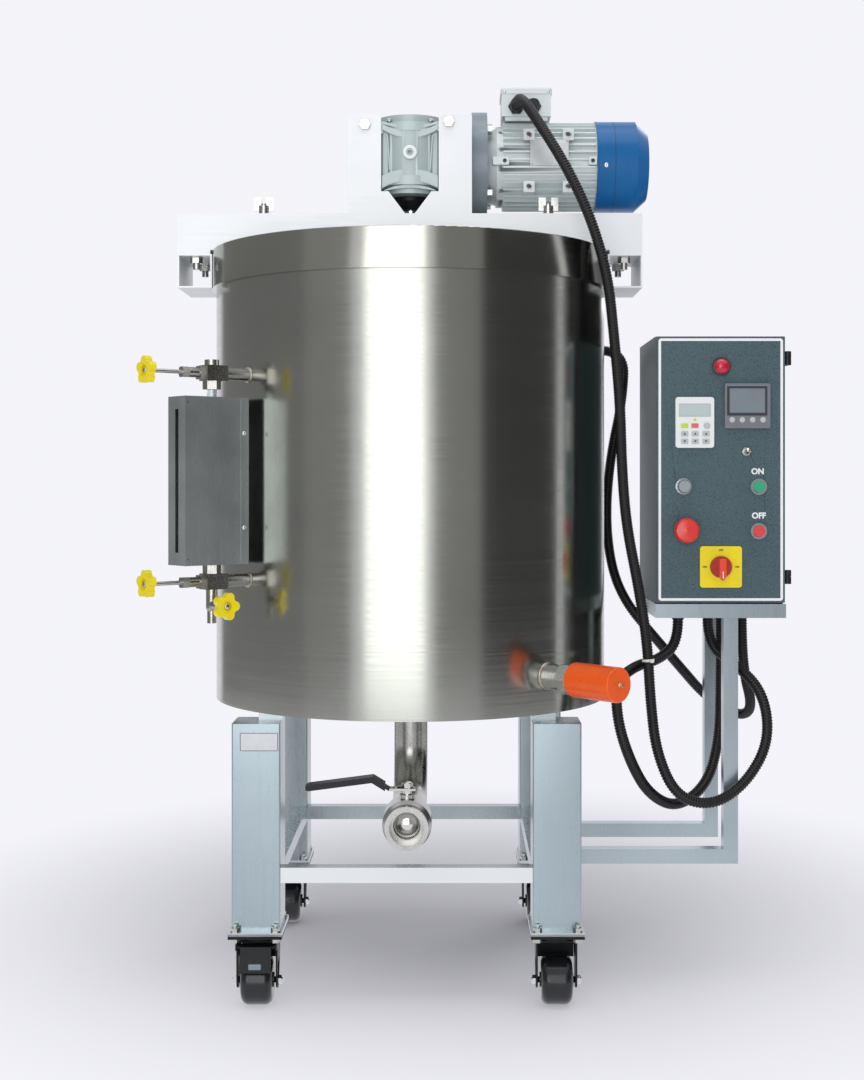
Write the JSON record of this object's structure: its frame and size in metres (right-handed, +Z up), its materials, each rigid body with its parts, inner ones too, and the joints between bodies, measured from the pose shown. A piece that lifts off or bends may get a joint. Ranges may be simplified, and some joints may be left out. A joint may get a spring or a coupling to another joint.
{
  "type": "chocolate tempering machine",
  "caption": "Jacketed stirred tank on casters for tempering chocolate, with a top worm gearmotor, level gauge, immersion heater, outlet ball valve and a hinged control box on an outrigger.",
  "frame": {"origin": "centre of the machine's footprint on the ground, cables left out", "axes": "+Z up, +X from the tank towards the control box, -Y the front with the valve and the door"},
  "size_m": [1.0928, 0.7525, 1.587],
  "materials": {
    "stainless": "brushed stainless",
    "plate_steel": "satin stainless",
    "drive_grey": "grey enamel",
    "motor_grey": "grey enamel",
    "cowl_blue": "blue enamel",
    "black_plastic": "matt",
    "box_paint": "hammered dark enamel",
    "yellow": "gloss",
    "orange": "orange enamel",
    "red": "gloss",
    "green": "gloss",
    "glass": "clear",
    "rubber": "matt",
    "zinc": "zinc plated",
    "bronze": "bronze",
    "white_plastic": "matt",
    "grey_plastic": "matt"
  },
  "bodies": {
    "machine": {"beam_brackets": "stainless", "bearings": "zinc", "bolts": "zinc", "cable_glands": "black_plastic", "control_box": "box_paint", "drive_beam": "plate_steel", "fan_cowl": "cowl_blue", "foot_plates": "zinc", "frame_legs": "plate_steel", "frame_rails": "plate_steel", "gauge_glass": "glass", "gauge_guard": "stainless", "gauge_valves": "stainless", "gearbox_bracket": "plate_steel", "gearbox_housing": "drive_grey", "heater_cable": "rubber", "heater_cap": "orange", "immersion_heater": "zinc", "inner_vessel": "stainless", "motor_body": "motor_grey", "motor_cable": "rubber", "outlet_pipe": "stainless", "panel_stand": "plate_steel", "speed_drive": "grey_plastic", "tank_cable": "rubber", "tank_jacket": "stainless", "terminal_box": "motor_grey", "valve_body": "stainless"},
    "agitator": {"agitator": "stainless", "scraper_blades": "white_plastic", "worm_wheel": "bronze"},
    "motor_rotor": {"motor_rotor": "zinc", "cooling_fan": "black_plastic"},
    "ball_valve": {"valve_ball": "stainless", "valve_lever": "zinc"},
    "handwheel_top": {"handwheel_top": "yellow"},
    "handwheel_bottom": {"handwheel_bottom": "yellow"},
    "handwheel_drain": {"handwheel_drain": "yellow"},
    "brake_pedal": {"brake_pedal": "zinc"},
    "control_door": {"control_door": "box_paint", "door_fittings": "grey_plastic", "pilot_lamp": "red", "temp_controller": "grey_plastic", "speed_keypad": "grey_plastic"},
    "on_button": {"on_button": "green"},
    "off_button": {"off_button": "red"},
    "stop_button": {"stop_button": "red"},
    "speed_knob": {"speed_knob": "black_plastic"},
    "main_switch": {"main_switch": "black_plastic"},
    "toggle_lever": {"toggle_lever": "zinc"},
    "lid_front": {"lid_front": "stainless"},
    "lid_rear": {"lid_rear": "stainless"},
    "fork_front_left": {"fork_front_left": "zinc"},
    "wheel_front_left": {"wheel_front_left": "black_plastic"},
    "fork_front_right": {"fork_front_right": "zinc"},
    "wheel_front_right": {"wheel_front_right": "black_plastic"},
    "fork_rear_left": {"fork_rear_left": "zinc"},
    "wheel_rear_left": {"wheel_rear_left": "black_plastic"},
    "fork_rear_right": {"fork_rear_right": "zinc"},
    "wheel_rear_right": {"wheel_rear_right": "black_plastic"}
  },
  "joints": [
    {"name": "agitator_spin", "type": "hinge", "parent": "machine", "child": "agitator", "pos_m": [-0.11303, 0.0183, 1.448], "axis": [0, 0, 1], "continuous": true},
    {"name": "motor_spin", "type": "hinge", "parent": "machine", "child": "motor_rotor", "pos_m": [0.08697, 0.0813, 1.448], "axis": [1, 0, 0], "continuous": true},
    {"name": "outlet_valve", "type": "hinge", "parent": "machine", "child": "ball_valve", "pos_m": [-0.11303, -0.2217, 0.297], "axis": [0, 0, 1], "range_deg": [-90, 0]},
    {"name": "gauge_valve_top", "type": "hinge", "parent": "machine", "child": "handwheel_top", "pos_m": [-0.52286, -0.32559, 1.043], "axis": [-0.766, -0.6428, 0], "range_deg": [-1080, 0]},
    {"name": "gauge_valve_bottom", "type": "hinge", "parent": "machine", "child": "handwheel_bottom", "pos_m": [-0.52286, -0.32559, 0.7], "axis": [-0.766, -0.6428, 0], "range_deg": [-1080, 0]},
    {"name": "gauge_drain", "type": "hinge", "parent": "machine", "child": "handwheel_drain", "pos_m": [-0.41034, -0.28078, 0.661], "axis": [0.6428, -0.766, 0], "range_deg": [-1080, 0]},
    {"name": "swivel_front_left", "type": "hinge", "parent": "machine", "child": "fork_front_left", "pos_m": [-0.36003, -0.2287, 0.118], "axis": [0, 0, 1], "continuous": true},
    {"name": "roll_front_left", "type": "hinge", "parent": "fork_front_left", "child": "wheel_front_left", "pos_m": [-0.36003, -0.2407, 0.04], "axis": [1, 0, 0], "continuous": true},
    {"name": "swivel_front_right", "type": "hinge", "parent": "machine", "child": "fork_front_right", "pos_m": [0.13397, -0.2287, 0.118], "axis": [0, 0, 1], "continuous": true},
    {"name": "roll_front_right", "type": "hinge", "parent": "fork_front_right", "child": "wheel_front_right", "pos_m": [0.13397, -0.2407, 0.04], "axis": [1, 0, 0], "continuous": true},
    {"name": "swivel_rear_left", "type": "hinge", "parent": "machine", "child": "fork_rear_left", "pos_m": [-0.36003, 0.2653, 0.118], "axis": [0, 0, 1], "continuous": true},
    {"name": "roll_rear_left", "type": "hinge", "parent": "fork_rear_left", "child": "wheel_rear_left", "pos_m": [-0.36003, 0.2533, 0.04], "axis": [1, 0, 0], "continuous": true},
    {"name": "swivel_rear_right", "type": "hinge", "parent": "machine", "child": "fork_rear_right", "pos_m": [0.13397, 0.2653, 0.118], "axis": [0, 0, 1], "continuous": true},
    {"name": "roll_rear_right", "type": "hinge", "parent": "fork_rear_right", "child": "wheel_rear_right", "pos_m": [0.13397, 0.2533, 0.04], "axis": [1, 0, 0], "continuous": true},
    {"name": "caster_brake", "type": "hinge", "parent": "fork_front_left", "child": "brake_pedal", "pos_m": [-0.36003, -0.2627, 0.1], "axis": [1, 0, 0], "range_deg": [-20, 3]},
    {"name": "door_hinge", "type": "hinge", "parent": "machine", "child": "control_door", "pos_m": [0.54037, -0.1327, 1.077], "axis": [0, 0, 1], "range_deg": [0, 110]},
    {"name": "on_button_press", "type": "slide", "parent": "control_door", "child": "on_button", "axis": [0, 1, 0], "range_m": [0, 0.004], "stiffness_N_per_m": 800},
    {"name": "off_button_press", "type": "slide", "parent": "control_door", "child": "off_button", "axis": [0, 1, 0], "range_m": [0, 0.004], "stiffness_N_per_m": 800},
    {"name": "stop_button_press", "type": "slide", "parent": "control_door", "child": "stop_button", "axis": [0, 1, 0], "range_m": [0, 0.004], "stiffness_N_per_m": 800},
    {"name": "speed_knob_turn", "type": "hinge", "parent": "control_door", "child": "speed_knob", "pos_m": [0.35947, -0.1417, 0.8562], "axis": [0, -1, 0], "range_deg": [-150, 150]},
    {"name": "main_switch_turn", "type": "hinge", "parent": "control_door", "child": "main_switch", "pos_m": [0.42337, -0.1417, 0.7178], "axis": [0, -1, 0], "range_deg": [-90, 0]},
    {"name": "toggle_throw", "type": "hinge", "parent": "control_door", "child": "toggle_lever", "pos_m": [0.46747, -0.1417, 0.9158], "axis": [1, 0, 0], "range_deg": [0, 16]},
    {"name": "lid_front_hinge", "type": "hinge", "parent": "machine", "child": "lid_front", "pos_m": [-0.11303, -0.0657, 1.2825], "axis": [-1, 0, 0], "range_deg": [0, 70]},
    {"name": "lid_rear_hinge", "type": "hinge", "parent": "machine", "child": "lid_rear", "pos_m": [-0.11303, 0.1023, 1.2825], "axis": [1, 0, 0], "range_deg": [0, 55]}
  ],
  "couplings": [
    {"joint": "motor_spin", "follows": "agitator_spin", "ratio": 30}
  ]
}
